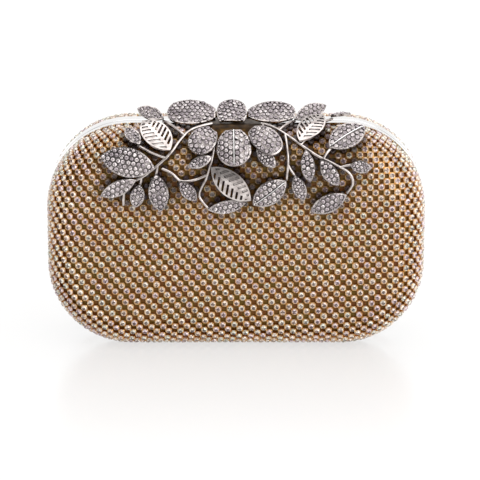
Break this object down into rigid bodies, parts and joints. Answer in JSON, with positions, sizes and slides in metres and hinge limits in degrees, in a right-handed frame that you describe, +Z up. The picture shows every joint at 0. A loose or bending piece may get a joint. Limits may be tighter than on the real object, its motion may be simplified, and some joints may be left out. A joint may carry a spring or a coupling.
{
  "type": "crystal minaudiere clutch",
  "caption": "Hard-case evening clutch that opens on hinges in its base, covered in crystal mesh, with a stone-set leaf and flower spray whose upper petals work the spring clasp.",
  "frame": {"origin": "on the floor under the middle of the whole object", "axes": "+X along the case to the right seen from the front, -Y out of the front, +Z up"},
  "size_m": [0.18, 0.0628, 0.1166],
  "materials": {
    "crystal_mesh": "clear faceted stones in gold-coloured cups",
    "satin": "gold satin",
    "lining": "champagne satin",
    "shell": "plain",
    "frame": "mirror polished",
    "ornament": "polished",
    "pave": "polished rim, bed set with clear stones",
    "fittings": "satin"
  },
  "bodies": {
    "rear_half": {"rear_shell": "shell", "rear_satin_cover": "satin", "rear_crystal_mesh": "crystal_mesh", "rear_lining": "lining", "rear_frame": "frame", "slip_pocket": "lining", "rear_hinge_leaf_left": "fittings", "rear_hinge_leaf_right": "fittings", "hinge_pin_left": "fittings", "hinge_pin_right": "fittings", "rear_hinge_rivets": "fittings", "clasp_bracket": "fittings", "clasp_bracket_screws": "fittings", "clasp_pin": "fittings", "clasp_spring": "fittings"},
    "lid": {"front_crystal_mesh": "crystal_mesh", "front_frame": "frame", "front_hinge_leaf_left": "fittings", "front_hinge_leaf_right": "fittings", "front_hinge_rivets": "fittings", "front_left_petal": "pave", "front_lining": "lining", "front_middle_petal": "pave", "front_right_petal": "pave", "front_satin_cover": "satin", "front_shell": "shell", "left_bud_leaf": "pave", "left_inner_leaf": "pave", "left_large_leaf": "pave", "left_low_leaf": "pave", "left_ribbed_leaf": "ornament", "left_side_leaf": "pave", "left_star_leaf": "pave", "left_stem": "ornament", "left_upper_leaf": "pave", "lower_leaf": "pave", "lower_ribbed_leaf": "ornament", "lower_stem": "ornament", "ornament_plate": "fittings", "ornament_plate_screws": "fittings", "right_bottom_leaf": "pave", "right_large_leaf": "pave", "right_low_leaf": "pave", "right_middle_leaf": "pave", "right_ribbed_leaf": "ornament", "right_side_leaf": "pave", "right_star_leaf": "pave", "right_stem": "ornament", "right_tip_leaf": "pave", "right_upper_leaf": "pave", "top_left_leaf": "pave", "top_right_leaf": "pave", "under_petal_leaf": "pave"},
    "clasp": {"clasp_lever": "fittings", "top_left_petal": "pave", "top_middle_petal": "pave", "top_right_petal": "pave"}
  },
  "joints": [
    {"name": "lid_hinge", "type": "hinge", "parent": "rear_half", "child": "lid", "pos_m": [0, 0.0036, 0.00135], "axis": [1, 0, 0], "range_deg": [0, 75]},
    {"name": "clasp_rock", "type": "hinge", "parent": "rear_half", "child": "clasp", "pos_m": [0, 0.008, 0.1086], "axis": [-1, 0, 0], "range_deg": [0, 8], "stiffness_Nm_per_rad": 0.05, "springref_deg": -5.73, "deforming": ["clasp_spring"]}
  ]
}
